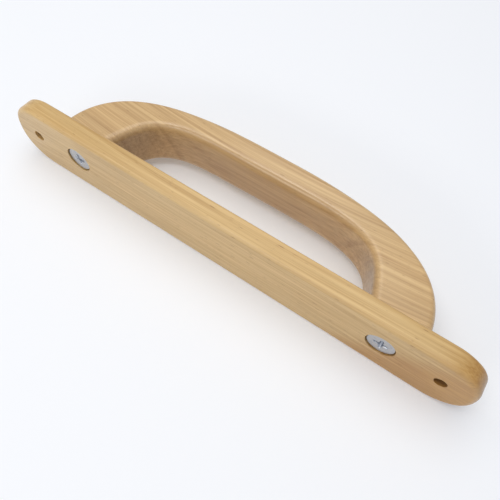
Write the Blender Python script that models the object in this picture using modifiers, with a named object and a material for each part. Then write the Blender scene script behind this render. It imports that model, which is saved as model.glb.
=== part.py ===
"""A small wooden grab rail: a D-shaped grip, screwed from behind to a flat backing plate.

X runs along the rail, Y runs out from the wall and Z is up. The origin is the middle of the
plate's back face, which lies on the wall. Everything is in metres.
"""

import math

import bmesh
import bpy
from mathutils import Matrix

# Clearance between two pieces that touch on the real rail
GAP = 0.0003

# Backing plate: a flat board with round ends and softened edges. A squareness of 2 would make
# each end a half circle
PLATE_LENGTH = 0.199
PLATE_WIDTH = 0.028
PLATE_THICKNESS = 0.008
PLATE_EDGE_RADIUS = 0.0015
PLATE_END_SQUARENESS = 2.25
PLATE_END_STEPS = 20

# All four drilled holes lie on one line, this far above the middle of the plate
DRILL_LINE = 0.0013

# The two empty holes that take the screws into the wall, countersunk on the front
MOUNTING_HOLE_SPACING = 0.175
MOUNTING_HOLE_DIAMETER = 0.0045
MOUNTING_COUNTERSINK_DIAMETER = 0.0096

# Grip: one piece sawn from a board, with two legs and a bar between them
GRIP_THICKNESS = 0.021
GRIP_EDGE_RADIUS = 0.0025
GRIP_HALF_LENGTH = 0.078
GRIP_PROJECTION = 0.0425
GRIP_SQUARENESS = 2.76
OPENING_HALF_LENGTH = 0.0484
OPENING_DEPTH = 0.0234
OPENING_SQUARENESS = 4.8
OPENING_FLARE = 0.167
OUTER_STEPS = 64
INNER_STEPS = 56

# Facets across each rounded edge, less one
EDGE_STEPS = 3

# The two screws that hold the grip to the plate, each through the middle of a leg's foot, with
# the heads sunk below the plate's back
SCREW_SPACING = 0.1324
SCREW_LENGTH = 0.025
SCREW_SINK = 0.0005
HEAD_DIAMETER = 0.0102
HEAD_RIM = 0.0004
SHANK_DIAMETER = 0.0036
SHANK_LENGTH = 0.0095
THREAD_DIAMETER = 0.0048
THREAD_CORE_DIAMETER = 0.0033
THREAD_PITCH = 0.0022
# Where a ridge of the thread starts, peaks and ends, as shares of the pitch
THREAD_START = 0.35
THREAD_PEAK = 0.65
THREAD_END = 0.95
TIP_LENGTH = 0.003
TURN_STEPS = 28

# The cross recess in each head
RECESS_SPAN = 0.0058
RECESS_SLOT = 0.0011
RECESS_DEPTH = 0.0026
RECESS_TAPER = 0.45
RECESS_TURNS = {"left": 8.0, "right": 4.0}

# Points this close are one point
WELD = 0.00001

# Faces that meet at less than this angle, in degrees, are shaded as one smooth surface
SMOOTH_ANGLE = 35

WOOD_PLATE = (0.64, 0.42, 0.20, 1.0)
WOOD_GRIP = (0.58, 0.36, 0.17, 1.0)
STEEL = (0.62, 0.64, 0.66, 1.0)
WOOD_ROUGHNESS = 0.45
STEEL_ROUGHNESS = 0.3


def clear_scene():
    for obj in list(bpy.data.objects):
        bpy.data.objects.remove(obj, do_unlink=True)


def make_collection(name):
    collection = bpy.data.collections.new(name)
    bpy.context.scene.collection.children.link(collection)
    return collection


def make_material(name, colour, roughness, metallic):
    material = bpy.data.materials.new(name)
    material.use_nodes = True
    shader = material.node_tree.nodes["Principled BSDF"]
    shader.inputs["Base Color"].default_value = colour
    shader.inputs["Roughness"].default_value = roughness
    shader.inputs["Metallic"].default_value = metallic
    return material


def add_object(name, mesh, collection):
    obj = bpy.data.objects.new(name, mesh)
    collection.objects.link(obj)
    return obj


def arch(half_length, height, squareness, steps):
    """Points of a flattened arch from its +X foot over the top to its -X foot.

    A squareness of 2 gives half an ellipse, and a larger one gives fuller shoulders.
    """
    points = []
    for step in range(steps + 1):
        angle = math.pi * step / steps
        across, up = math.cos(angle), math.sin(angle)
        x = half_length * math.copysign(abs(across) ** (2 / squareness), across)
        points.append((x, height * up ** (2 / squareness)))
    return points


def plate_outline():
    """The plate's face: two straight sides joined by the round ends."""
    radius = PLATE_WIDTH / 2
    centre = PLATE_LENGTH / 2 - radius
    power = 2 / PLATE_END_SQUARENESS
    outline = []
    for side in (1, -1):
        for step in range(PLATE_END_STEPS + 1):
            angle = math.pi * (step / PLATE_END_STEPS - 0.5)
            along, across = math.cos(angle), math.sin(angle)
            x = centre + radius * abs(along) ** power
            y = radius * math.copysign(abs(across) ** power, across)
            outline.append((side * x, side * y))
    return outline


def grip_outline():
    """The sawn shape of the grip, with its legs left long so that they can be cut off flat."""
    saw_waste = -GRIP_EDGE_RADIUS * 2
    outer = arch(GRIP_HALF_LENGTH, GRIP_PROJECTION, GRIP_SQUARENESS, OUTER_STEPS)
    outline = [(GRIP_HALF_LENGTH, saw_waste), *outer, (-GRIP_HALF_LENGTH, saw_waste)]
    foot = OPENING_HALF_LENGTH * (1 + OPENING_FLARE)
    inner = arch(OPENING_HALF_LENGTH, OPENING_DEPTH, OPENING_SQUARENESS, INNER_STEPS)
    outline.append((-foot, saw_waste))
    for x, y in reversed(inner):
        spread = 1 + OPENING_FLARE * (1 - y / OPENING_DEPTH)
        outline.append((x * spread, PLATE_THICKNESS + y))
    outline.append((foot, saw_waste))
    return outline


def board(name, outline, thickness, edge_radius, rotation, location, collection):
    """A board of that outline and thickness with rounded edges, as a welded mesh."""
    curve = bpy.data.curves.new(name + "_outline", "CURVE")
    curve.dimensions = "2D"
    curve.fill_mode = "BOTH"
    curve.extrude = thickness / 2 - edge_radius
    curve.bevel_depth = edge_radius
    curve.bevel_resolution = EDGE_STEPS
    curve.offset = -edge_radius
    spline = curve.splines.new("POLY")
    spline.points.add(len(outline) - 1)
    for point, (x, y) in zip(spline.points, outline):
        point.co = (x, y, 0, 1)
    spline.use_cyclic_u = True
    guide = add_object(name + "_guide", curve, collection)
    bpy.context.view_layer.update()
    evaluated = guide.evaluated_get(bpy.context.evaluated_depsgraph_get())
    mesh = bpy.data.meshes.new_from_object(evaluated)
    bpy.data.objects.remove(guide, do_unlink=True)
    bpy.data.curves.remove(curve)
    shape = bmesh.new()
    shape.from_mesh(mesh)
    bmesh.ops.remove_doubles(shape, verts=shape.verts, dist=WELD)
    bmesh.ops.recalc_face_normals(shape, faces=shape.faces)
    shape.to_mesh(mesh)
    shape.free()
    obj = add_object(name, mesh, collection)
    obj.rotation_euler = rotation
    obj.location = location
    return obj


def turned(name, profile, location, collection):
    """A turned solid whose axis runs along Y. The profile's points are (radius, depth), and
    depth grows from the back of the plate towards the grip."""
    mesh = bpy.data.meshes.new(name)
    points = [(radius, 0, -depth) for radius, depth in profile]
    mesh.from_pydata(points, [(i, i + 1) for i in range(len(points) - 1)], [])
    obj = add_object(name, mesh, collection)
    obj.rotation_euler = (math.pi / 2, 0, 0)
    obj.location = location
    screw = obj.modifiers.new("Turn", "SCREW")
    screw.axis = "Z"
    screw.steps = TURN_STEPS
    screw.render_steps = TURN_STEPS
    screw.use_merge_vertices = True
    screw.merge_threshold = WELD
    return obj


def cut(obj, cutter):
    boolean = obj.modifiers.new("Cut " + cutter.name, "BOOLEAN")
    boolean.operation = "DIFFERENCE"
    boolean.solver = "EXACT"
    boolean.object = cutter
    cutter.hide_render = True
    cutter.display_type = "WIRE"


def finish(obj, material):
    obj.data.materials.append(material)
    obj.data.shade_smooth()
    obj.data.set_sharp_from_angle(angle=math.radians(SMOOTH_ANGLE))


def mounting_hole(name, x, cutters):
    """A plain hole from the back that opens into a countersink at the front."""
    radius = MOUNTING_HOLE_DIAMETER / 2
    mouth = MOUNTING_COUNTERSINK_DIAMETER / 2
    shoulder = PLATE_THICKNESS - (mouth - radius)
    beyond = 0.001
    profile = [
        (0, -beyond),
        (radius, -beyond),
        (radius, shoulder),
        (mouth + beyond, PLATE_THICKNESS + beyond),
        (0, PLATE_THICKNESS + beyond),
    ]
    return turned(name, profile, (x, 0, DRILL_LINE), cutters)


def plate_screw_hole(name, x, cutters):
    """A counterbored and countersunk clearance hole for a screw from the back of the plate."""
    radius = SHANK_DIAMETER / 2 + GAP
    mouth = HEAD_DIAMETER / 2 + GAP
    shoulder = SCREW_SINK + HEAD_RIM
    beyond = 0.001
    profile = [
        (0, -beyond),
        (mouth, -beyond),
        (mouth, shoulder),
        (radius, shoulder + mouth - radius),
        (radius, PLATE_THICKNESS + beyond),
        (0, PLATE_THICKNESS + beyond),
    ]
    return turned(name, profile, (x, 0, DRILL_LINE), cutters)


def pilot_hole(name, x, cutters):
    """The drilled hole in a leg, wide enough to clear the thread, with a drill-point end."""
    radius = THREAD_DIAMETER / 2 + GAP
    start = PLATE_THICKNESS - GAP
    end = SCREW_SINK + SCREW_LENGTH
    profile = [(0, start), (radius, start), (radius, end), (0, end + radius / 2)]
    return turned(name, profile, (x, 0, DRILL_LINE), cutters)


def screw_profile():
    """Countersunk head, plain shank, ridged thread and a point."""
    head = HEAD_DIAMETER / 2
    shank = SHANK_DIAMETER / 2
    crest = THREAD_DIAMETER / 2
    core = THREAD_CORE_DIAMETER / 2
    top = SCREW_SINK
    profile = [(0, top), (head, top), (head, top + HEAD_RIM), (shank, top + HEAD_RIM + head - shank)]
    profile.append((shank, top + SHANK_LENGTH))
    threaded = SCREW_LENGTH - SHANK_LENGTH - TIP_LENGTH
    ridges = int(threaded / THREAD_PITCH)
    for ridge in range(ridges):
        base = top + SHANK_LENGTH + ridge * THREAD_PITCH
        profile.append((core, base + THREAD_PITCH * THREAD_START))
        profile.append((crest, base + THREAD_PITCH * THREAD_PEAK))
        profile.append((core, base + THREAD_PITCH * THREAD_END))
    profile.append((0, top + SCREW_LENGTH))
    return profile


def recess_cutter(name, x, turn, cutters):
    """One bar of the cross: a tapered wedge that starts above the head and narrows inwards."""
    shape = bmesh.new()
    above = 0.0004
    flare = (1 - RECESS_TAPER) * above / RECESS_DEPTH
    bmesh.ops.create_cone(
        shape,
        cap_ends=True,
        segments=4,
        radius1=math.sqrt(0.5) * RECESS_TAPER,
        radius2=math.sqrt(0.5) * (1 + flare),
        depth=RECESS_DEPTH + above,
    )
    square = Matrix.Rotation(math.radians(45), 3, "Z")
    bmesh.ops.rotate(shape, verts=shape.verts, cent=(0, 0, 0), matrix=square)
    bmesh.ops.scale(shape, verts=shape.verts, vec=(RECESS_SPAN, RECESS_SLOT, 1))
    bmesh.ops.translate(shape, verts=shape.verts, vec=(0, 0, (above - RECESS_DEPTH) / 2))
    mesh = bpy.data.meshes.new(name)
    shape.to_mesh(mesh)
    shape.free()
    wedge = add_object(name, mesh, cutters)
    wedge.rotation_euler = (math.pi / 2, math.radians(turn), 0)
    wedge.location = (x, SCREW_SINK, DRILL_LINE)
    return wedge


def build_plate(parts, cutters, wood):
    upright = (math.pi / 2, 0, 0)
    middle = (0, PLATE_THICKNESS / 2, 0)
    outline = plate_outline()
    plate = board("base_plate", outline, PLATE_THICKNESS, PLATE_EDGE_RADIUS, upright, middle, parts)
    for side, sign in (("left", -1), ("right", 1)):
        fixing = sign * MOUNTING_HOLE_SPACING / 2
        cut(plate, mounting_hole("mounting_hole_" + side, fixing, cutters))
        assembly = sign * SCREW_SPACING / 2
        cut(plate, plate_screw_hole("plate_screw_hole_" + side, assembly, cutters))
    finish(plate, wood)
    return plate


def build_grip(parts, cutters, wood):
    flat = (0, 0, 0)
    grip = board("grip", grip_outline(), GRIP_THICKNESS, GRIP_EDGE_RADIUS, flat, flat, parts)
    saw = bmesh.new()
    bmesh.ops.create_cube(saw, size=1)
    depth = PLATE_THICKNESS + GAP
    bmesh.ops.scale(saw, verts=saw.verts, vec=(PLATE_LENGTH, depth * 2, PLATE_WIDTH))
    mesh = bpy.data.meshes.new("foot_saw")
    saw.to_mesh(mesh)
    saw.free()
    cut(grip, add_object("foot_saw", mesh, cutters))
    for side, sign in (("left", -1), ("right", 1)):
        cut(grip, pilot_hole("pilot_hole_" + side, sign * SCREW_SPACING / 2, cutters))
    finish(grip, wood)
    return grip


def build_screw(side, sign, parts, cutters, steel):
    x = sign * SCREW_SPACING / 2
    screw = turned("assembly_screw_" + side, screw_profile(), (x, 0, DRILL_LINE), parts)
    for number, turn in enumerate((0, 90)):
        name = f"recess_{side}_{number}"
        cut(screw, recess_cutter(name, x, RECESS_TURNS[side] + turn, cutters))
    finish(screw, steel)
    return screw


def build():
    clear_scene()
    parts = make_collection("grab_rail")
    cutters = make_collection("cutters")
    plate_wood = make_material("plate_wood", WOOD_PLATE, WOOD_ROUGHNESS, 0)
    grip_wood = make_material("grip_wood", WOOD_GRIP, WOOD_ROUGHNESS, 0)
    steel = make_material("zinc_steel", STEEL, STEEL_ROUGHNESS, 1)
    build_plate(parts, cutters, plate_wood)
    build_grip(parts, cutters, grip_wood)
    for side, sign in (("left", -1), ("right", 1)):
        build_screw(side, sign, parts, cutters, steel)


build()
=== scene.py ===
"""Looks for the grab rail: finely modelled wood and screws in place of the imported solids, with
a pale floor, soft light and a camera.

Lengths are in metres. X runs along the rail, Y out from the wall and Z across the plate.
"""

import math
from collections import namedtuple

import bmesh
import bpy
from mathutils import Matrix, Vector, geometry, noise


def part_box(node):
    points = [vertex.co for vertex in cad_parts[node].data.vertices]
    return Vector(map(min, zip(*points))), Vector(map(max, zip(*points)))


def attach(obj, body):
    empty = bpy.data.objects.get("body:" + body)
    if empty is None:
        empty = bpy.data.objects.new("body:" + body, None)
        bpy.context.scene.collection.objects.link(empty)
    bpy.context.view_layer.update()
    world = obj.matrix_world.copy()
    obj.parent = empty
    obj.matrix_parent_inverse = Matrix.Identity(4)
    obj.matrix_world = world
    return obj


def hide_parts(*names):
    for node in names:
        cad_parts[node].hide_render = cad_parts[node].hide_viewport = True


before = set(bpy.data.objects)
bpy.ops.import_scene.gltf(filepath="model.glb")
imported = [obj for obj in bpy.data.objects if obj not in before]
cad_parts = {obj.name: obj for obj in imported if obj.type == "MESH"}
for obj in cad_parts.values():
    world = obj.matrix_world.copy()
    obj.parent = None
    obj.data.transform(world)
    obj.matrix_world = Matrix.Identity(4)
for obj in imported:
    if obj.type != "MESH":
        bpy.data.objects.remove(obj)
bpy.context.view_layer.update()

MM = 0.001

PLATE_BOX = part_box("base_plate")
GRIP_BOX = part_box("grip")

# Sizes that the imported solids' boxes don't give
MOUNTING_HOLE_X = 87.5 * MM
MOUNTING_HOLE_RADIUS = 2.25 * MM
MOUNTING_MOUTH_RADIUS = 4.8 * MM
PLATE_END_SQUARENESS = 2.25
GRIP_SQUARENESS = 2.76
OPENING_HALF_LENGTH = 48.4 * MM
OPENING_DEPTH = 23.4 * MM
OPENING_SQUARENESS = 4.8
OPENING_FLARE = 0.167
SHANK_RADIUS = 1.8 * MM
SHANK_LENGTH = 9.5 * MM
THREAD_RADIUS = 2.4 * MM
CORE_RADIUS = 1.65 * MM
THREAD_PITCH = 2.2 * MM
TIP_LENGTH = 3.0 * MM
# The plain stretch before the thread, and again after it
THREAD_LEAD = 0.1 * MM
TIP_BLUNTNESS = 0.8
# Half of the thread's ridge, and how far it grows or fades at its ends, in turns
RIDGE_HALF = 0.32
RIDGE_FADE = 0.8
CLEARANCE = 0.3 * MM
HEAD_RIM = 0.4 * MM
HEAD_ROUNDING = 0.16 * MM
HEAD_FLAT_MARGIN = 0.3 * MM
HEAD_STEPS = 4

# The cross recess: its span, arm width and fillet at the top, and how much less each is at the
# bottom. Its rows are shares of its depth.
RECESS_SPAN = 5.8 * MM
RECESS_SPAN_TAPER = 3.2 * MM
RECESS_SLOT = 1.3 * MM
RECESS_SLOT_TAPER = 0.4 * MM
RECESS_FILLET = 0.5 * MM
RECESS_FILLET_TAPER = 0.15 * MM
RECESS_LIP = 0.10 * MM
RECESS_DEPTH = 2.3 * MM
RECESS_POINT = 0.35 * MM
RECESS_ROWS = (0.0, 0.03, 0.12, 0.35, 0.65, 0.9, 1.0)
RECESS_FILLET_STEPS = 5
RECESS_END_STEPS = 8

# Drilled holes: the broken edge at the surface, and how uneven the walls are
HOLE_LIP = 0.06 * MM
MOUNTING_HOLE_ROUGHNESS = 0.05 * MM
SEAT_ROUGHNESS = 0.06 * MM
HOLE_DRIFT_SIZE = 0.01
# The walls' unevenness is read round a circle this many times smaller than a metre
HOLE_DRIFT_SHRINK = 50
# In a hole the dark colour of cut wood and painted shade is partly there at an end, and grows with
# distance from it, so the hole is painted darker deeper in
CUT_AND_SHADE_AT_END = 0.3
CUT_AND_SHADE_DEPTH = 2.5 * MM
# A ring this deep in a mounting hole shapes how its painted shade grows
SHADE_RING_DEPTH = 1.0 * MM

# Softened edges
PLATE_BACK_ARRIS = 1.25 * MM
PLATE_FRONT_ARRIS = 0.8 * MM
PLATE_END_ARRIS = 0.7 * MM
GRIP_OUTER_ARRIS = 2.5 * MM
GRIP_INNER_ARRIS = 3.2 * MM
# Along the bar the inner edge is rounded less into the face and further down the wall than on
# the legs. It changes from one to the other between START and END, measured along X.
BAR_ARRIS_ACROSS = 3.0 * MM
BAR_ARRIS_DOWN = 3.8 * MM
BAR_ARRIS_START = 30 * MM
BAR_ARRIS_END = 47 * MM
FOOT_ARRIS = 0.22 * MM
FOOT_GAP = 0.05 * MM
ARRIS_STEPS = 9
# A band of flat face beside each rounded edge, which keeps the shading of the face flat
HOLDING = 0.35 * MM
# The edges' radius grows by PLATE_END_ARRIS at each end, over this share of the half width
PLATE_END_GROWTH = 0.6
# How much an edge's radius varies, and over what distance. The two long edges read their
# variation this far to each side of the middle, and the edges of the two faces this far apart.
PLATE_ARRIS_DRIFT = 0.14
PLATE_DRIFT_SIZE = 0.018
PLATE_EDGE_OFFSET = 0.02
PLATE_FACES_APART = 0.03
GRIP_ARRIS_DRIFT = 0.12
GRIP_DRIFT_SIZE = 0.022
GRIP_EDGES_APART = 0.5
# A bend sharper than this is shaded as a crease
CREASE_ANGLE = math.radians(35)

# Mesh density
PLATE_STRAIGHT_POINTS = 46
PLATE_END_POINTS = 30
GRID_ALONG = 4 * MM
GRID_ACROSS = 4.4 * MM
# Columns and rows of the faces' grid on each side of the middle one
GRID_COLUMNS = 24
GRID_ROWS = 2
# How far the grid stays from the plate's edge, a mounting hole's mouth and a screw's head
EDGE_MARGIN = 4.5 * MM
HOLE_MARGIN = 1.5 * MM
SEAT_MARGIN = 2 * MM
GRIP_SECTIONS = 190
CURVE_SAMPLES = 3000
HOLE_POINTS = 48
SCREW_POINTS = 64
# Rows of the thread's mesh in one pitch
PITCH_ROWS = 10

SCREW_TURNS = {"left": 8.0, "right": 4.0}
# How dark each mounting hole is inside, as cut wood and painted shade, with 1 for the darkest; the
# left hole has little, as its wall is lit
HOLE_CUT_AND_SHADE = {"left": 0.12, "right": 1.0}
# How dark the holes round the screws' heads are inside, as cut wood and painted shade
SEAT_CUT_AND_SHADE = 0.55

# The woods. Lengths are in millimetres, and the seed moves the grain's pattern.
# The dark colour of cut wood, which also paints the shade inside the holes
CUT_WOOD_AND_SHADE = (0.13, 0.055, 0.02, 1)
PLATE_LOOK = {
    "pale": (0.72, 0.485, 0.198, 1),
    "deep": (0.53, 0.315, 0.10, 1),
    "pore_colour": (0.38, 0.20, 0.07, 1),
    # Paler colour on the rounded edges, for wear and a painted sheen
    "rubbed_and_sheen": (0.74, 0.53, 0.28, 1),
    "seed": (37.0, 11.0, 5.0),
    "heart": (-110.0, 6.0),
    "year": 2.5,
    "sway": 7.0,
    "bow": 0.0002,
    "rings": 0.4,
    "strands": 1.6,
    "streaks": 1.6,
    "pores": 0.85,
    "lacquer": 0.4,
    "amber_slope": (1 / 40, 0.0, -1 / 28),
    "amber_from": 1.45,
    "amber_filter": (0.79, 0.61, 0.32),
}
GRIP_LOOK = {
    "pale": (0.71, 0.482, 0.222, 1),
    "deep": (0.47, 0.272, 0.105, 1),
    "pore_colour": (0.30, 0.15, 0.06, 1),
    # Paler colour on the rounded edges, for wear and a painted sheen
    "rubbed_and_sheen": (0.72, 0.51, 0.29, 1),
    "seed": (112.0, 53.0, 71.0),
    "heart": (-95.0, -20.0),
    "year": 2.9,
    "sway": 4.0,
    "bow": 0.0008,
    "rings": 0.35,
    "strands": 1.8,
    "streaks": 1.1,
    "pores": 0.6,
    "lacquer": 0.6,
}
COAT_ROUGHNESS = 0.16
COAT_IOR = 1.5
WOOD_BUMP = 0.05 * MM
WOOD_BUMP_STRENGTH = 0.6
WOOD_ROUGHNESS = 0.38
# What each pattern adds to the lightness, the roughness and the height of the surface
BROAD_LEVEL = 0.26
FIBRE_LEVEL = 0.16
STRAND_ROUGHNESS = 0.14
PORE_ROUGHNESS = 0.2
RAW_ROUGHNESS = 0.35
FIBRE_HEIGHT = 0.3
PORE_HEIGHT = -1.0
STREAK_HEIGHT = 0.4
EARLY_HEIGHT = -0.25
# Where late wood lies between pale and deep, with the strands and streaks at their middle
MIDDLE_DEPTH = 0.35
END_GRAIN_DARKENING = 0.2
# How much of the paler colour goes on the rounded edges, as wear and painted sheen
RUBBED_AND_SHEEN_SHARE = 0.4
# How much of the dark colour of cut wood and painted shade goes inside the holes
CUT_AND_SHADE_SHARE = 0.75
AMBER_SPREAD = 0.6
AMBER_STRANDS = 0.4
# Growth rings: how uneven their widths are, the shares of a ring where its early wood is
# complete and where it starts to fade, and the noise that makes some rings fainter
RING_UNEVENNESS = 3.0
RING_UNEVENNESS_RATE = 0.3
EARLY_COMPLETE = 0.25
EARLY_FADES = 0.3
FAINT_RATE = 0.9
FAINT_RANGE = (0.35, 0.65)
# How fine each pattern in the wood is, per millimetre along the grain and across it
SWAY_SCALES = (0.009, 0.025)
BROAD_SCALES = (0.012, 0.11)
STRAND_SCALES = (0.016, 0.75)
STREAK_SCALES = (0.03, 2.1)
FIBRE_SCALES = (0.09, 6.0)
# Two sizes of pore: the scales, a pore's width and its strength
PORE_LAYERS = (((0.15, 1.05), 0.20, 1.0), ((0.27, 2.3), 0.24, 0.6))
# A pore's width in late wood and what early wood adds, as shares of the layer's width, the
# range of chance over which pores appear, and their dark middle and blurred edge
PORE_LATE_WIDTH = 0.55
PORE_EARLY_WIDTH = 0.6
PORE_CHANCE = (0.15, 0.75)
PORE_MIDDLE = 0.5
PORE_BLUR = 0.02

ZINC_DARK = (0.38, 0.39, 0.41, 1)
ZINC_PALE = (0.56, 0.57, 0.59, 1)
# A paler colour painted in the screws' recess, standing in for light reflected into it
ZINC_RECESS_PAINTED_LIGHT = (0.68, 0.71, 0.76, 1)
ZINC_BUMP = 0.03 * MM
ZINC_BUMP_STRENGTH = 0.4
ZINC_FINENESS = (9.0, 9.0, 9.0)
ZINC_FINE_HEIGHT = 0.3
ZINC_ROUGHNESS = 0.2
ZINC_MOTTLE_ROUGHNESS = 0.2
RECESS_PAINTED_LIGHT_SHARE = 0.6
RECESS_ROUGHNESS = 0.1

# The stage. Each light has a place, a size and a power in watts.
KEY_PLACE = (-0.14, 0.10, 0.85)
KEY_SIZE = (1.0, 1.0)
KEY_POWER = 5.55
KEY_COLOUR = (1.0, 0.982, 0.93)
WINDOW_PLACE = (-0.22, -0.26, 0.80)
WINDOW_SIZE = (0.22, 0.22)
WINDOW_POWER = 0.7
FILL_PLACE = (-0.15, -0.73, 0.36)
FILL_SIZE = (0.45, 0.15)
FILL_POWER = 1.0
SKY_COLOUR = (0.93, 0.98, 1.13, 1)
SKY_STRENGTH = 0.35
FLOOR_COLOUR = (0.80, 0.81, 0.825, 1)
FLOOR_GLOW_COLOUR = (0.95, 0.97, 1.0, 1)
FLOOR_GLOW = 0.16
FLOOR_ROUGHNESS = 0.7
FLOOR_SPECULAR = 0.2
FLOOR_HALF_SIZE = 1.5

# The camera: the direction it looks from, its roll, its distance and how far it is shifted
CAMERA_AZIMUTH = math.radians(30.09)
CAMERA_ELEVATION = math.radians(60.13)
CAMERA_ROLL = math.radians(4.57)
CAMERA_DISTANCE = 178.8 * MM
CAMERA_RIGHT = 12.54 * MM
CAMERA_DOWN = 1.42 * MM
CAMERA_SENSOR = 36.0
CAMERA_LENS = 35.62
CAMERA_NEAR = 5 * MM
CAMERA_FAR = 20.0

# A screw's place: its centre as (x, z), its head's radius, and where it starts and ends along Y
Seat = namedtuple("Seat", "centre head top tip")


class Shell:
    """Points and faces of one closed piece, with two marks on each point: how far an edge is
    rubbed, which also paints a sheen on it, and how raw the wood is where a drill or saw has cut
    it, which also paints shade deeper in holes and light in a screw's recess."""

    def __init__(self):
        self.points = []
        self.faces = []
        self.wear_and_sheen = []
        self.raw = []

    def ring(self, points, wear_and_sheen=0.0, raw=0.0):
        """Adds points that share their marks, and gives back their numbers."""
        start = len(self.points)
        self.points.extend(points)
        self.wear_and_sheen.extend([wear_and_sheen] * len(points))
        self.raw.extend([raw] * len(points))
        return list(range(start, len(self.points)))

    def bridge(self, first, second):
        """Joins two rings that have the same number of points."""
        count = len(first)
        for i in range(count):
            j = (i + 1) % count
            self.faces.append((first[i], first[j], second[j], second[i]))

    def bridge_all(self, rings):
        for first, second in zip(rings, rings[1:]):
            self.bridge(first, second)

    def fan(self, ring, point, raw=0.0):
        """Closes a ring with faces that meet in one point."""
        tip = self.ring([point], raw=raw)[0]
        for i in range(len(ring)):
            self.faces.append((ring[i], ring[(i + 1) % len(ring)], tip))

    def cap(self, outer, holes, inside=()):
        """Fills a face square to Y, between an outer ring and the rings of its holes. Its mesh
        also uses the points inside."""
        flat = [Vector((x, z)) for x, y, z in self.points]
        loops = [outer, *holes]
        used = [i for loop in loops for i in loop] + list(inside)
        place = {index: n for n, index in enumerate(used)}
        edges = []
        for loop in loops:
            edges += [(place[a], place[b]) for a, b in zip(loop, loop[1:] + loop[:1])]
        coords = [flat[i] for i in used]
        made = geometry.delaunay_2d_cdt(coords, edges, [], 0, 1e-9)
        source = [origin[0] for origin in made[3]]
        shapes = [[flat[i] for i in loop] for loop in loops]
        for face in made[2]:
            corners = [used[source[i]] for i in face]
            centre = sum((flat[i] for i in corners), Vector((0, 0))) / len(corners)
            if within(centre, shapes[0]) and not any(within(centre, s) for s in shapes[1:]):
                self.faces.append(tuple(corners))

    def build(self, name, node, material):
        """Makes the piece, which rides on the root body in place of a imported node."""
        mesh = bpy.data.meshes.new(name)
        mesh.from_pydata(self.points, [], self.faces)
        for mark, values in (("wear_and_sheen", self.wear_and_sheen), ("raw", self.raw)):
            attribute = mesh.attributes.new(mark, "FLOAT", "POINT")
            attribute.data.foreach_set("value", values)
        shape = bmesh.new()
        shape.from_mesh(mesh)
        bmesh.ops.remove_doubles(shape, verts=shape.verts, dist=1e-7)
        bmesh.ops.recalc_face_normals(shape, faces=shape.faces)
        shape.to_mesh(mesh)
        shape.free()
        mesh.shade_smooth()
        mesh.set_sharp_from_angle(angle=CREASE_ANGLE)
        mesh.materials.append(material)
        piece = bpy.data.objects.new(name, mesh)
        bpy.context.scene.collection.objects.link(piece)
        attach(piece, "root")
        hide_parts(node)
        return piece


def within(point, loop):
    """Whether a flat point lies inside a closed loop of flat points."""
    inside = False
    for a, b in zip(loop, loop[1:] + loop[:1]):
        if (a.y > point.y) != (b.y > point.y):
            crossing = a.x + (point.y - a.y) / (b.y - a.y) * (b.x - a.x)
            if point.x < crossing:
                inside = not inside
    return inside


def drift(x, y, z, size):
    """A smooth random value, between about -1 and 1, that changes over that distance."""
    return noise.noise(Vector((x, y, z)) / size)


def screw_seat(side):
    """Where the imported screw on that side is."""
    low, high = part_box("assembly_screw_" + side)
    centre = ((low.x + high.x) / 2, (low.z + high.z) / 2)
    return Seat(centre, (high.z - low.z) / 2, low.y, high.y)


def smooth(share):
    """Eases a share between 0 and 1, with no slope at either end."""
    return share * share * (3 - 2 * share)


def clamped(value):
    """The value, kept between 0 and 1."""
    return min(1.0, max(0.0, value))


def circle(centre, radius, y, count=HOLE_POINTS, rough=0.0):
    """A ring round an axis along Y, with its points moved in and out a little if rough."""
    points = []
    for i in range(count):
        across, up = math.cos(2 * math.pi * i / count), math.sin(2 * math.pi * i / count)
        shrink = HOLE_DRIFT_SHRINK
        uneven = drift(centre[0], across / shrink, up / shrink, HOLE_DRIFT_SIZE)
        wide = radius + rough * uneven
        points.append((centre[0] + wide * across, y, centre[1] + wide * up))
    return points


def bore(shell, centre, profile, rough, cut_and_shade=1.0):
    """A drilled hole: rings of (radius, y) from one end to the other. The first ring and the last
    have no raw mark, and between them the mark grows with distance from both ends, as cut wood and
    painted shade that darkens deeper in."""
    ends = (profile[0][1], profile[-1][1])
    rings = []
    for number, (radius, y) in enumerate(profile):
        inward = min(abs(y - end) for end in ends)
        inner = 0 < number < len(profile) - 1
        # The raw mark here is cut wood and painted shade, darker deeper in the hole
        raw = cut_and_shade * min(1.0, CUT_AND_SHADE_AT_END + inward / CUT_AND_SHADE_DEPTH) if inner else 0.0
        rings.append(shell.ring(circle(centre, radius, y, rough=rough), raw=raw))
    shell.bridge_all(rings)
    return rings


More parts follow.
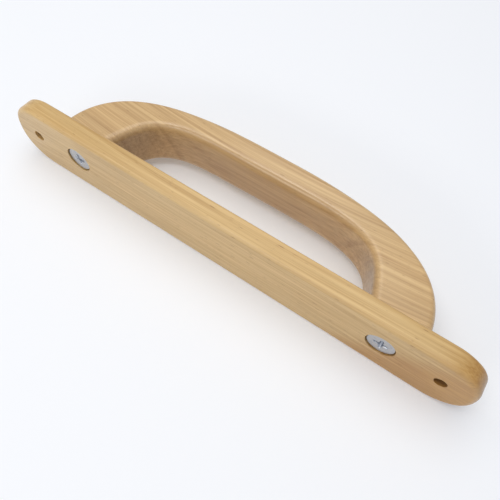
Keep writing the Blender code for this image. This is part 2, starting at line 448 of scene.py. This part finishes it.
def build_plate(material):
    """The flat board, with soft edges, two mounting holes and a seat for each screw."""
    half_width = PLATE_BOX[1].z
    thickness = PLATE_BOX[1].y
    core = PLATE_BOX[1].x - half_width
    power = 2 / PLATE_END_SQUARENESS
    # The outline's points, each with the direction that points out of the plate there
    stations = []
    for side in (1, -1):
        for i in range(PLATE_END_POINTS):
            angle = math.pi / 2 - math.pi * (i + 0.5) / PLATE_END_POINTS
            along, across = math.cos(angle), math.sin(angle)
            turned = math.copysign(1, across)
            out = Vector((along ** (2 - power), turned * abs(across) ** (2 - power))).normalized()
            x = core + half_width * along**power
            z = half_width * turned * abs(across) ** power
            stations.append((side * x, side * z, side * out.x, side * out.y))
        for i in range(PLATE_STRAIGHT_POINTS):
            x = side * core * (1 - 2 * (i + 0.5) / PLATE_STRAIGHT_POINTS)
            stations.append((x, -side * half_width, 0.0, -side))
    shell = Shell()

    def arris(x, z, front):
        """The edge's radius there. It grows towards the plate's ends."""
        end = clamped((abs(x) - core) / (PLATE_END_GROWTH * half_width))
        soft = PLATE_FRONT_ARRIS if front else PLATE_BACK_ARRIS
        soft += PLATE_END_ARRIS * smooth(end)
        across = z * PLATE_EDGE_OFFSET / half_width
        uneven = drift(x, across, front * PLATE_FACES_APART, PLATE_DRIFT_SIZE)
        return soft * (1 + PLATE_ARRIS_DRIFT * uneven)

    def edge_ring(share_in, depth_share, front, holding=0.0):
        """A ring round the plate. The shares are of the arris radius, from the side and from
        the face."""
        points = []
        for x, z, out_x, out_z in stations:
            radius = arris(x, z, front)
            inset = radius * share_in + holding
            y = radius * depth_share
            points.append((x - out_x * inset, thickness - y if front else y, z - out_z * inset))
        return points

    def arris_rings(front):
        rings = [shell.ring(edge_ring(1, 0, front, HOLDING))]
        for step in range(ARRIS_STEPS + 1):
            angle = math.pi / 2 * step / ARRIS_STEPS
            # Strongest midway round the edge: wear and a painted sheen
            wear_and_sheen = math.sin(2 * angle)
            ring = edge_ring(1 - math.sin(angle), 1 - math.cos(angle), front)
            rings.append(shell.ring(ring, wear_and_sheen=wear_and_sheen))
        return rings

    back = arris_rings(False)
    front = arris_rings(True)
    middle = [
        shell.ring([(x, thickness * share, z) for x, z, *_ in stations])
        for share in (0.4, 0.6)
    ]
    shell.bridge_all([*back, *middle, *reversed(front)])
    bores = []
    for side, sign in (("left", -1), ("right", 1)):
        profile = mounting_profile(thickness)
        centre = mounting_centre(sign)
        bores.append(bore(shell, centre, profile, MOUNTING_HOLE_ROUGHNESS, HOLE_CUT_AND_SHADE[side]))
    for side in ("left", "right"):
        seat = screw_seat(side)
        profile = seat_profile(seat, thickness)
        bores.append(bore(shell, seat.centre, profile, SEAT_ROUGHNESS, SEAT_CUT_AND_SHADE))
    for y, outer, end in ((0, back[0], 0), (thickness, front[0], -1)):
        grid = face_grid(y, core, half_width)
        shell.cap(outer, [rings[end] for rings in bores], shell.ring(grid))
    return shell.build("wood_plate", "base_plate", material)


def mounting_profile(thickness):
    """A mounting hole from back to front, where it is countersunk."""
    radius = MOUNTING_HOLE_RADIUS
    mouth = MOUNTING_MOUTH_RADIUS
    shoulder = thickness - (mouth - radius)
    return [
        (radius + HOLE_LIP, 0),
        (radius, HOLE_LIP),
        (radius, SHADE_RING_DEPTH),
        (radius, shoulder * 0.5),
        (radius, shoulder),
        ((radius + mouth) / 2, (shoulder + thickness) / 2),
        (mouth, thickness - HOLE_LIP / 2),
        (mouth + HOLE_LIP / 2, thickness),
    ]


def seat_profile(seat, thickness):
    """The hole round an assembly screw: a short counterbore, a countersink and a shank hole."""
    mouth = seat.head + CLEARANCE
    shank = SHANK_RADIUS + CLEARANCE
    rim = seat.top + HEAD_RIM
    return [
        (mouth + 2 * HOLE_LIP, 0),
        (mouth + HOLE_LIP, HOLE_LIP),
        (mouth, seat.top),
        (mouth, rim),
        ((mouth + shank) / 2, rim + (mouth - shank) / 2),
        (shank, rim + mouth - shank),
        (shank, thickness),
    ]


def face_grid(y, core, half_width):
    """Points spread over one of the plate's flat faces, clear of its edge and its holes."""
    grid = []
    for i in range(-GRID_COLUMNS, GRID_COLUMNS + 1):
        for j in range(-GRID_ROWS, GRID_ROWS + 1):
            x = i * GRID_ALONG + (GRID_ALONG / 2 if j % 2 else 0)
            z = j * GRID_ACROSS
            near_end = math.hypot(max(0, abs(x) - core), z) > half_width - EDGE_MARGIN
            clear = all(
                math.hypot(x - centre[0], z - centre[1]) > reach
                for centre, reach in hole_reach()
            )
            if clear and not near_end:
                grid.append((x, y, z))
    return grid


def mounting_centre(sign):
    """The centre, as (x, z), of the mounting hole on that side, level with the screws."""
    return sign * MOUNTING_HOLE_X, screw_seat("left").centre[1]


def hole_reach():
    """Each hole's centre, and how far from it the points of the faces' grid stay."""
    reach = [(mounting_centre(sign), MOUNTING_MOUTH_RADIUS + HOLE_MARGIN) for sign in (-1, 1)]
    for side in ("left", "right"):
        seat = screw_seat(side)
        reach.append((seat.centre, seat.head + SEAT_MARGIN))
    return reach


def spaced(curve, start, end, count):
    """Points of a curve, spread evenly along it but closer together where it bends."""
    fine = CURVE_SAMPLES
    raw = [Vector(curve(start + (end - start) * i / fine)) for i in range(fine + 1)]
    length = [0.0]
    turning = [0.0]
    heading = None
    for a, b in zip(raw, raw[1:]):
        step = b - a
        length.append(length[-1] + step.length)
        bend = 0.0
        if step.length > 1e-12:
            bend = step.angle(heading) if heading is not None else 0.0
            heading = step
        turning.append(turning[-1] + bend)
    measure = [
        0.5 * along / length[-1] + 0.5 * bend / turning[-1]
        for along, bend in zip(length, turning)
    ]
    points = []
    place = 0
    for i in range(count + 1):
        wanted = i / count
        while place < fine - 1 and measure[place + 1] < wanted:
            place += 1
        span = measure[place + 1] - measure[place]
        share = (wanted - measure[place]) / span if span > 0 else 0.0
        points.append(raw[place].lerp(raw[place + 1], clamped(share)))
    return points


def build_grip(material):
    """The D-shaped bow: closed rings from foot to foot, with a pilot hole in each foot."""
    half_thick = GRIP_BOX[1].z
    projection = GRIP_BOX[1].y
    front = PLATE_BOX[1].y
    foot = front + FOOT_GAP
    fullness = 2 / GRIP_SQUARENESS
    # The outer arch is cut off at the foot, so its full half length is a little more
    cut_share = GRIP_BOX[0].y / projection
    half_length = GRIP_BOX[1].x / (1 - cut_share**GRIP_SQUARENESS) ** (1 / GRIP_SQUARENESS)

    def outer(angle):
        across, up = math.cos(angle), max(0.0, math.sin(angle))
        x = half_length * math.copysign(abs(across) ** fullness, across)
        return x, projection * up**fullness

    def inner(angle):
        across, up = math.cos(angle), max(0.0, math.sin(angle))
        power = 2 / OPENING_SQUARENESS
        y = OPENING_DEPTH * up**power
        spread = 1 + OPENING_FLARE * (1 - y / OPENING_DEPTH)
        x = OPENING_HALF_LENGTH * spread * math.copysign(abs(across) ** power, across)
        return x, front + y

    outer_start = math.asin((foot / projection) ** (1 / fullness))
    inner_start = math.asin((FOOT_GAP / OPENING_DEPTH) ** (OPENING_SQUARENESS / 2))
    count = GRIP_SECTIONS
    outside = spaced(outer, outer_start, math.pi - outer_start, count)
    inside = spaced(inner, inner_start, math.pi - inner_start, count)
    shell = Shell()

    def section(number, inset=0.0, lift=0.0):
        """One closed ring round the bar, in the plane that runs along Z through a point of
        the outer outline and one of the inner."""
        out = outside[number]
        hole = inside[number]
        chord = (out - hole).normalized()
        ring = []
        wear_and_sheen = []

        def place(along, z, mark=0.0):
            spot = hole + chord * along
            squeeze = (half_thick - inset) / half_thick
            ring.append((spot.x, spot.y + lift, z * squeeze))
            wear_and_sheen.append(mark)

        width = (out - hole).length
        uneven = 1 + GRIP_ARRIS_DRIFT * drift(out.x, out.y, 0, GRIP_DRIFT_SIZE)
        outer_arris = (GRIP_OUTER_ARRIS * uneven, GRIP_OUTER_ARRIS * uneven)
        uneven = 1 + GRIP_ARRIS_DRIFT * drift(hole.x, hole.y, GRIP_EDGES_APART, GRIP_DRIFT_SIZE)
        leg = (abs(hole.x) - BAR_ARRIS_START) / (BAR_ARRIS_END - BAR_ARRIS_START)
        leg = smooth(clamped(leg))
        inner_arris = (
            (BAR_ARRIS_ACROSS + (GRIP_INNER_ARRIS - BAR_ARRIS_ACROSS) * leg) * uneven,
            (BAR_ARRIS_DOWN + (GRIP_INNER_ARRIS - BAR_ARRIS_DOWN) * leg) * uneven,
        )
        # The upper side runs from the outer edge to the inner one, and the lower side back
        for sign in (1, -1):
            for far in (True, False) if sign > 0 else (False, True):
                across, down = outer_arris if far else inner_arris
                edge = width - inset if far else inset
                towards = -1 if far else 1
                wall = half_thick - down
                corner = [(edge, wall * 0.5, 0.0)]
                for step in range(ARRIS_STEPS + 1):
                    angle = math.pi / 2 * step / ARRIS_STEPS
                    along = edge + towards * across * (1 - math.cos(angle))
                    up = half_thick - down * (1 - math.sin(angle))
                    # The third value marks the edge's wear and painted sheen, strongest midway
                    # round it
                    corner.append((along, up, math.sin(2 * angle)))
                corner.append((edge + towards * (across + HOLDING), half_thick, 0.0))
                if far == (sign < 0):
                    corner.reverse()
                for along, up, mark in corner:
                    place(along, sign * up, mark)
                if far == (sign > 0):
                    opposite = (inner_arris if far else outer_arris)[0]
                    begin = edge + towards * (across + HOLDING)
                    finish = (inset if far else width - inset) - towards * (opposite + HOLDING)
                    for part in (0.25, 0.5, 0.75):
                        place(begin + (finish - begin) * part, sign * half_thick)
        made = shell.ring(ring)
        for index, mark in zip(made, wear_and_sheen):
            shell.wear_and_sheen[index] = mark
        return made

    rings = [section(0, inset=FOOT_ARRIS)]
    rings.append(section(0, lift=FOOT_ARRIS))
    rings += [section(number) for number in range(1, count)]
    rings.append(section(count, lift=FOOT_ARRIS))
    rings.append(section(count, inset=FOOT_ARRIS))
    shell.bridge_all(rings)
    drill = THREAD_RADIUS + CLEARANCE
    for side, ring in (("right", rings[0]), ("left", rings[-1])):
        seat = screw_seat(side)
        profile = [(drill, foot), (drill, (foot + seat.tip) / 2), (drill, seat.tip)]
        # The pilot hole is dark inside, as cut wood and painted shade
        hole = bore(shell, seat.centre, profile, 0.0)
        bottom = (seat.centre[0], seat.tip + drill / 2, seat.centre[1])
        shell.fan(hole[-1], bottom, raw=1.0)
        shell.cap(ring, [hole[0]])
    return shell.build("wood_grip", "grip", material)


def cross_outline(span, slot, fillet):
    """The outline of a cross with round arm ends and filleted inner corners."""
    half = slot / 2
    points = []
    for arm in range(4):
        turn = arm * math.pi / 2
        local = []
        for step in range(RECESS_FILLET_STEPS + 1):
            angle = math.pi - math.pi / 2 * step / RECESS_FILLET_STEPS
            local.append((half + fillet + fillet * math.cos(angle),
                          -half - fillet + fillet * math.sin(angle)))
        for step in range(RECESS_END_STEPS + 1):
            angle = -math.pi / 2 + math.pi * step / RECESS_END_STEPS
            local.append((span / 2 - half + half * math.cos(angle), half * math.sin(angle)))
        for u, v in local:
            points.append((u * math.cos(turn) - v * math.sin(turn),
                           u * math.sin(turn) + v * math.cos(turn)))
    return points


def build_screw(side, material):
    """A countersunk screw with a cross recess, whose head is at the plate's back."""
    centre, head, top, tip = screw_seat(side)
    turn = math.radians(SCREW_TURNS[side])
    shell = Shell()

    def turned_ring(radius, y, wear_and_sheen=0.0):
        return shell.ring(circle(centre, radius, y, SCREW_POINTS), wear_and_sheen=wear_and_sheen)

    def cross_ring(span, slot, fillet, depth, raw):
        points = []
        for u, v in cross_outline(span, slot, fillet):
            across = u * math.cos(turn) - v * math.sin(turn)
            up = u * math.sin(turn) + v * math.cos(turn)
            points.append((centre[0] + across, top + depth, centre[1] + up))
        return shell.ring(points, raw=raw)

    # Recess, from its lip down to its floor
    recess = []
    for share in RECESS_ROWS:
        lip = RECESS_LIP if share == 0 else 0.0
        span = RECESS_SPAN - share * RECESS_SPAN_TAPER + lip
        slot = RECESS_SLOT - share * RECESS_SLOT_TAPER + lip
        fillet = RECESS_FILLET - share * RECESS_FILLET_TAPER
        # Inside the recess the raw mark paints the steel paler, as painted light
        raw = 1.0 if share > 0 else 0.0
        recess.append(cross_ring(span, slot, fillet, RECESS_DEPTH * share, raw))
    shell.bridge_all(recess)
    shell.fan(recess[-1], (centre[0], top + RECESS_DEPTH + RECESS_POINT, centre[1]), raw=1.0)
    # Head, from its flat top round the rim to the shank
    face = [turned_ring(head - HEAD_ROUNDING - HEAD_FLAT_MARGIN, top)]
    for step in range(HEAD_STEPS + 1):
        angle = math.pi / 2 * step / HEAD_STEPS
        radius = head - HEAD_ROUNDING * (1 - math.sin(angle))
        face.append(turned_ring(radius, top + HEAD_ROUNDING * (1 - math.cos(angle)), wear_and_sheen=1.0))
    shell.cap(face[0], [recess[0]])
    rim = top + HEAD_RIM
    face.append(turned_ring(head, rim))
    cone_end = rim + head - SHANK_RADIUS
    for share in (0.33, 0.67, 1.0):
        radius = head + (SHANK_RADIUS - head) * share
        face.append(turned_ring(radius, rim + (cone_end - rim) * share))
    shank_end = top + SHANK_LENGTH
    face.append(turned_ring(SHANK_RADIUS, (cone_end + shank_end) / 2))
    face.append(turned_ring(SHANK_RADIUS, shank_end))
    shell.bridge_all(face)
    build_thread(shell, centre, face[-1], shank_end, tip)
    return shell.build("screw_" + side, "assembly_screw_" + side, material)


def build_thread(shell, centre, ring, start, tip):
    """A ridge wound round the core, from the shank's last ring to the point. The mesh's rows
    follow the helix, so each row ends where the row one pitch further on begins."""
    count = SCREW_POINTS
    body_end = tip - TIP_LENGTH
    rows = int((body_end - start) / THREAD_PITCH * PITCH_ROWS) - PITCH_ROWS
    begin = start + THREAD_LEAD

    def radius_at(row, angle_share):
        turns = row / PITCH_ROWS
        along = turns + angle_share
        ridge = max(0.0, 1 - abs(turns % 1.0 - 0.5) / RIDGE_HALF)
        grow = clamped((along - 1.0) / RIDGE_FADE)
        fade = clamped((rows / PITCH_ROWS - along) / RIDGE_FADE)
        core = SHANK_RADIUS + (CORE_RADIUS - SHANK_RADIUS) * min(1.0, along)
        return core + (THREAD_RADIUS - core) * ridge * grow * fade

    grid = []
    for row in range(rows + 1):
        points = []
        for i in range(count):
            share = i / count
            angle = 2 * math.pi * share
            y = begin + THREAD_PITCH * (row / PITCH_ROWS + share)
            radius = radius_at(row, share)
            across, up = radius * math.cos(angle), radius * math.sin(angle)
            points.append((centre[0] + across, y, centre[1] + up))
        grid.append(shell.ring(points))
    last = count - 1
    for row in range(rows):
        for i in range(last):
            shell.faces.append((grid[row][i], grid[row][i + 1],
                                grid[row + 1][i + 1], grid[row + 1][i]))
    for row in range(rows - PITCH_ROWS):
        above = row + PITCH_ROWS
        shell.faces.append((grid[row][last], grid[above][0],
                            grid[above + 1][0], grid[row + 1][last]))
    # The first row climbs one pitch from the shank, and one face closes the step at its seam
    for i in range(last):
        shell.faces.append((ring[i], ring[i + 1], grid[0][i + 1], grid[0][i]))
    seam = [grid[row][0] for row in range(PITCH_ROWS + 1)]
    shell.faces.append((ring[last], ring[0], *seam, grid[0][last]))
    end_y = begin + THREAD_PITCH * (rows / PITCH_ROWS + 1) + THREAD_LEAD
    end = shell.ring(circle(centre, CORE_RADIUS, end_y, count))
    for i in range(last):
        shell.faces.append((grid[rows][i], grid[rows][i + 1], end[i + 1], end[i]))
    seam = [grid[row][last] for row in range(rows - PITCH_ROWS, rows + 1)]
    shell.faces.append((*seam, end[last], end[0], grid[rows][0]))
    cone = [end]
    for share in (0.4, 0.75, 0.95):
        radius = CORE_RADIUS * (1 - share) ** TIP_BLUNTNESS
        cone.append(shell.ring(circle(centre, radius, end_y + (tip - end_y) * share, count)))
    shell.bridge_all(cone)
    shell.fan(cone[-1], (centre[0], tip, centre[1]))


class Graph:
    """A material's nodes, made by calls that return output sockets."""

    def __init__(self, name):
        self.material = bpy.data.materials.new(name)
        self.material.use_nodes = True
        tree = self.material.node_tree
        self.nodes = tree.nodes
        self.links = tree.links
        self.shader = self.nodes["Principled BSDF"]

    def feed(self, socket, value):
        if isinstance(value, bpy.types.NodeSocket):
            self.links.new(value, socket)
        else:
            socket.default_value = value

    def add(self, kind, inputs, output=0, **settings):
        node = self.nodes.new("ShaderNode" + kind)
        for key, value in settings.items():
            setattr(node, key, value)
        for key, value in inputs.items():
            self.feed(node.inputs[key], value)
        return node.outputs[output]

    def math(self, operation, *values, clamp=False):
        return self.add("Math", dict(enumerate(values)), operation=operation, use_clamp=clamp)

    def vector(self, operation, *values, output=0):
        return self.add("VectorMath", dict(enumerate(values)), output, operation=operation)

    def noise(self, vector, detail=2.0, roughness=0.5, output=0):
        inputs = {"Vector": vector, "Scale": 1.0, "Detail": detail, "Roughness": roughness}
        return self.add("TexNoise", inputs, output)

    def line_noise(self, value, rate):
        """Smooth noise, between 0 and 1, along a single value."""
        inputs = {"W": value, "Scale": rate, "Detail": 1.0}
        return self.add("TexNoise", inputs, noise_dimensions="1D")

    def blend(self, share, first, second):
        """A mix of two colours."""
        return self.add("Mix", {0: share, 6: first, 7: second}, 2, data_type="RGBA")

    def scaled(self, colour, share):
        return self.add("VectorMath", {0: colour, 3: share}, operation="SCALE")

    def between(self, value, low, high):
        """0 below low, 1 above high and smooth in between."""
        return self.add("MapRange", {0: value, 1: low, 2: high, 3: 0.0, 4: 1.0},
                        interpolation_type="SMOOTHSTEP")

    def mark(self, name):
        """One of the marks that the piece's points carry."""
        return self.add("Attribute", {}, 2, attribute_name=name)

    def bump(self, height, strength, distance):
        """Gives the surface its fine relief."""
        inputs = {"Strength": strength, "Distance": distance, "Height": height}
        self.feed(self.shader.inputs["Normal"], self.add("Bump", inputs))


def stretched(graph, spot, scales):
    """Places for a pattern drawn out along the grain. The scales are per millimetre, along the
    grain and across it."""
    along, across = scales
    return graph.vector("MULTIPLY", spot, (along, across, across))


def board_place(graph, look, place):
    """Places in the board, with fibres that bow slightly along it."""
    along = graph.add("SeparateXYZ", {0: place})
    bend = graph.math("MULTIPLY", graph.math("MULTIPLY", along, along), -look["bow"])
    spot = graph.vector("ADD", place, graph.add("CombineXYZ", {1: bend}))
    return graph.vector("ADD", spot, look["seed"])


def early_wood(graph, look, spot):
    """How far a place lies in the open, early part of a growth ring, from 0 to 1. The rings
    wander a little round the heart of the tree."""
    sway = graph.noise(stretched(graph, spot, SWAY_SCALES), 1.0, output=1)
    sway = graph.vector("SUBTRACT", sway, (0.5, 0.5, 0.5))
    sway = graph.vector("MULTIPLY", sway, (0.0, look["sway"], look["sway"]))
    flow = graph.vector("ADD", graph.vector("MULTIPLY", spot, (0.0, 1.0, 1.0)), sway)
    heart = (0.0, look["heart"][0] + look["seed"][1], look["heart"][1] + look["seed"][2])
    reach = graph.vector("DISTANCE", flow, heart, output=1)
    uneven = graph.line_noise(reach, RING_UNEVENNESS_RATE)
    reach = graph.math("MULTIPLY_ADD", uneven, RING_UNEVENNESS, reach)
    phase = graph.math("FRACT", graph.math("DIVIDE", reach, look["year"]))
    early = graph.math("MULTIPLY", graph.between(phase, 0.0, EARLY_COMPLETE),
                       graph.math("SUBTRACT", 1.0, graph.between(phase, EARLY_FADES, 1.0)))
    strength = graph.between(graph.line_noise(reach, FAINT_RATE), *FAINT_RANGE)
    return graph.math("MULTIPLY", early, strength)


def open_pores(graph, spot, early):
    """Vessels that open on the surface as short dashes, most of them in the early wood."""
    pores = 0.0
    for scales, width, strength in PORE_LAYERS:
        places = stretched(graph, spot, scales)
        cells = graph.add("TexVoronoi", {"Vector": places, "Scale": 1.0})
        chance = graph.add("SeparateColor", {0: cells.node.outputs[1]})
        widths = (width * PORE_EARLY_WIDTH, width * PORE_LATE_WIDTH)
        wide = graph.math("MULTIPLY_ADD", early, *widths)
        wide = graph.math("MULTIPLY", wide, graph.between(chance, *PORE_CHANCE))
        inner = graph.math("MULTIPLY", wide, PORE_MIDDLE)
        outer = graph.math("ADD", wide, PORE_BLUR)
        dash = graph.math("SUBTRACT", 1.0, graph.between(cells, inner, outer))
        pores = graph.math("MAXIMUM", pores, graph.math("MULTIPLY", dash, strength))
    return pores


def deepened(graph, look, place, strand, colour):
    """The colour, deeper and more amber towards one end of the board and its lower edge."""
    towards = graph.vector("DOT_PRODUCT", place, look["amber_slope"], output=1)
    uneven = graph.math("MULTIPLY_ADD", strand, AMBER_STRANDS, -AMBER_STRANDS / 2)
    towards = graph.math("ADD", towards, uneven)
    amber = graph.between(towards, look["amber_from"], look["amber_from"] + AMBER_SPREAD)
    return graph.blend(amber, colour, graph.vector("MULTIPLY", colour, look["amber_filter"]))


def wood(name, look):
    """Straight-grained hardwood with growth rings, fine fibres and open pores, under a thin
    satin lacquer. The grain runs along X, and the look's lengths are in millimetres."""
    graph = Graph(name)
    place = graph.scaled(graph.add("TexCoord", {}, 3), 1 / MM)
    spot = board_place(graph, look, place)
    early = early_wood(graph, look, spot)
    broad = graph.noise(stretched(graph, spot, BROAD_SCALES), 2.0)
    strand = graph.noise(stretched(graph, spot, STRAND_SCALES), 2.0, 0.6)
    streak = graph.noise(stretched(graph, spot, STREAK_SCALES), 2.0, 0.6)
    fibre = graph.noise(stretched(graph, spot, FIBRE_SCALES), 2.0, 0.6)
    pores = open_pores(graph, spot, early)

    # Rings, strands and streaks move the colour between pale and deep
    depth = graph.math("MULTIPLY", early, look["rings"])
    for layer, strength in ((strand, look["strands"]), (streak, look["streaks"])):
        centred = graph.math("MULTIPLY_ADD", layer, strength, -strength / 2)
        depth = graph.math("ADD", depth, centred)
    depth = graph.math("ADD", depth, MIDDLE_DEPTH, clamp=True)
    colour = graph.blend(depth, look["pale"], look["deep"])
    level = graph.math("MULTIPLY_ADD", broad, BROAD_LEVEL, 1 - BROAD_LEVEL / 2)
    fine = graph.math("MULTIPLY_ADD", fibre, FIBRE_LEVEL, 1 - FIBRE_LEVEL / 2)
    level = graph.math("MULTIPLY", level, fine)
    colour = graph.scaled(colour, level)
    colour = graph.blend(graph.math("MULTIPLY", pores, look["pores"]), colour, look["pore_colour"])

    # End grain soaks up more lacquer and is darker
    facing = graph.add("SeparateXYZ", {0: graph.add("TexCoord", {}, 1)})
    end = graph.between(graph.math("ABSOLUTE", facing), 0.45, 1.0)
    colour = graph.scaled(colour, graph.math("MULTIPLY_ADD", end, -END_GRAIN_DARKENING, 1.0))
    if "amber_filter" in look:
        colour = deepened(graph, look, place, strand, colour)

    # Edges are a little paler, as wear and painted sheen, and inside the holes the colour is dark,
    # as cut wood and painted shade, and dull
    raw = graph.mark("raw")
    rubbed_and_sheen = graph.math("MULTIPLY", strand, RUBBED_AND_SHEEN_SHARE)
    rubbed_and_sheen = graph.math("MULTIPLY", graph.mark("wear_and_sheen"), rubbed_and_sheen)
    colour = graph.blend(rubbed_and_sheen, colour, look["rubbed_and_sheen"])
    colour = graph.blend(graph.math("MULTIPLY", raw, CUT_AND_SHADE_SHARE), colour, CUT_WOOD_AND_SHADE)
    graph.feed(graph.shader.inputs["Base Color"], colour)

    rough = graph.math("MULTIPLY_ADD", strand, STRAND_ROUGHNESS, WOOD_ROUGHNESS)
    rough = graph.math("MULTIPLY_ADD", pores, PORE_ROUGHNESS, rough)
    rough = graph.math("MULTIPLY_ADD", raw, RAW_ROUGHNESS, rough, clamp=True)
    graph.feed(graph.shader.inputs["Roughness"], rough)

    height = graph.math("MULTIPLY", pores, PORE_HEIGHT)
    height = graph.math("MULTIPLY_ADD", fibre, FIBRE_HEIGHT, height)
    height = graph.math("MULTIPLY_ADD", streak, STREAK_HEIGHT, height)
    height = graph.math("MULTIPLY_ADD", early, EARLY_HEIGHT, height)
    graph.bump(height, WOOD_BUMP_STRENGTH, WOOD_BUMP)
    graph.shader.inputs["Coat Weight"].default_value = look["lacquer"]
    graph.shader.inputs["Coat Roughness"].default_value = COAT_ROUGHNESS
    graph.shader.inputs["Coat IOR"].default_value = COAT_IOR
    return graph.material


def steel(name):
    """Bright zinc plating, faintly mottled, duller in the recess and painted paler there, as
    painted light reflected into it.
    """
    graph = Graph(name)
    spot = graph.scaled(graph.add("TexCoord", {}, 3), 1 / MM)
    mottle = graph.noise(spot, 3.0, 0.6)
    fine = graph.noise(graph.vector("MULTIPLY", spot, ZINC_FINENESS), 2.0)
    raw = graph.mark("raw")
    colour = graph.blend(mottle, ZINC_DARK, ZINC_PALE)
    # The recess is painted paler, standing in for light reflected into it
    colour = graph.blend(graph.math("MULTIPLY", raw, RECESS_PAINTED_LIGHT_SHARE), colour, ZINC_RECESS_PAINTED_LIGHT)
    graph.feed(graph.shader.inputs["Base Color"], colour)
    graph.shader.inputs["Metallic"].default_value = 1.0
    rough = graph.math("MULTIPLY_ADD", mottle, ZINC_MOTTLE_ROUGHNESS, ZINC_ROUGHNESS)
    rough = graph.math("ADD", rough, graph.math("MULTIPLY", raw, RECESS_ROUGHNESS))
    graph.feed(graph.shader.inputs["Roughness"], rough)
    height = graph.math("MULTIPLY_ADD", fine, ZINC_FINE_HEIGHT, mottle)
    graph.bump(height, ZINC_BUMP_STRENGTH, ZINC_BUMP)
    return graph.material


def build_floor():
    """A pale floor that the plate's lower long edge stands on."""
    graph = Graph("floor_white")
    graph.shader.inputs["Base Color"].default_value = FLOOR_COLOUR
    graph.shader.inputs["Emission Color"].default_value = FLOOR_GLOW_COLOUR
    graph.shader.inputs["Emission Strength"].default_value = FLOOR_GLOW
    graph.shader.inputs["Roughness"].default_value = FLOOR_ROUGHNESS
    graph.shader.inputs["Specular IOR Level"].default_value = FLOOR_SPECULAR
    mesh = bpy.data.meshes.new("floor")
    shape = bmesh.new()
    bmesh.ops.create_grid(shape, x_segments=4, y_segments=4, size=FLOOR_HALF_SIZE)
    bmesh.ops.translate(shape, verts=shape.verts, vec=(0, 0, PLATE_BOX[0].z))
    shape.to_mesh(mesh)
    shape.free()
    mesh.materials.append(graph.material)
    floor = bpy.data.objects.new("floor", mesh)
    bpy.context.scene.collection.objects.link(floor)


def add_light(name, place, size, power, colour=(1, 1, 1)):
    """A soft rectangular light that points at the middle of the plate's back."""
    data = bpy.data.lights.new(name, "AREA")
    data.shape = "RECTANGLE"
    data.size = size[0]
    data.size_y = size[1]
    data.energy = power
    data.color = colour
    light = bpy.data.objects.new(name, data)
    light.location = place
    light.rotation_euler = (-Vector(place)).to_track_quat("-Z", "Y").to_euler()
    bpy.context.scene.collection.objects.link(light)


def build_lights():
    """Three soft lights and a pale sky."""
    add_light("key", KEY_PLACE, KEY_SIZE, KEY_POWER, KEY_COLOUR)
    add_light("window", WINDOW_PLACE, WINDOW_SIZE, WINDOW_POWER)
    add_light("fill", FILL_PLACE, FILL_SIZE, FILL_POWER)
    world = bpy.data.worlds.new("studio")
    world.use_nodes = True
    background = world.node_tree.nodes["Background"]
    background.inputs["Color"].default_value = SKY_COLOUR
    background.inputs["Strength"].default_value = SKY_STRENGTH
    bpy.context.scene.world = world
    bpy.context.scene.view_settings.view_transform = "Standard"


def build_camera():
    """A close view of the plate's back and upper edge, from above and to the right."""
    back = Vector((
        math.sin(CAMERA_AZIMUTH) * math.cos(CAMERA_ELEVATION),
        -math.cos(CAMERA_AZIMUTH) * math.cos(CAMERA_ELEVATION),
        math.sin(CAMERA_ELEVATION),
    ))
    level = (-back).cross(Vector((0, 0, 1))).normalized()
    upright = level.cross(-back)
    right = level * math.cos(CAMERA_ROLL) + upright * math.sin(CAMERA_ROLL)
    up = upright * math.cos(CAMERA_ROLL) - level * math.sin(CAMERA_ROLL)
    data = bpy.data.cameras.new("camera")
    data.sensor_width = CAMERA_SENSOR
    data.lens = CAMERA_LENS
    data.clip_start = CAMERA_NEAR
    data.clip_end = CAMERA_FAR
    camera = bpy.data.objects.new("camera", data)
    turn = Matrix((right, up, back)).transposed().to_4x4()
    place = back * CAMERA_DISTANCE + right * CAMERA_RIGHT - up * CAMERA_DOWN
    camera.matrix_world = Matrix.Translation(place) @ turn
    bpy.context.scene.collection.objects.link(camera)
    bpy.context.scene.camera = camera


build_camera()
build_lights()
build_floor()
build_plate(wood("plate_wood", PLATE_LOOK))
build_grip(wood("grip_wood", GRIP_LOOK))
zinc = steel("screw_steel")
for side in ("left", "right"):
    build_screw(side, zinc)
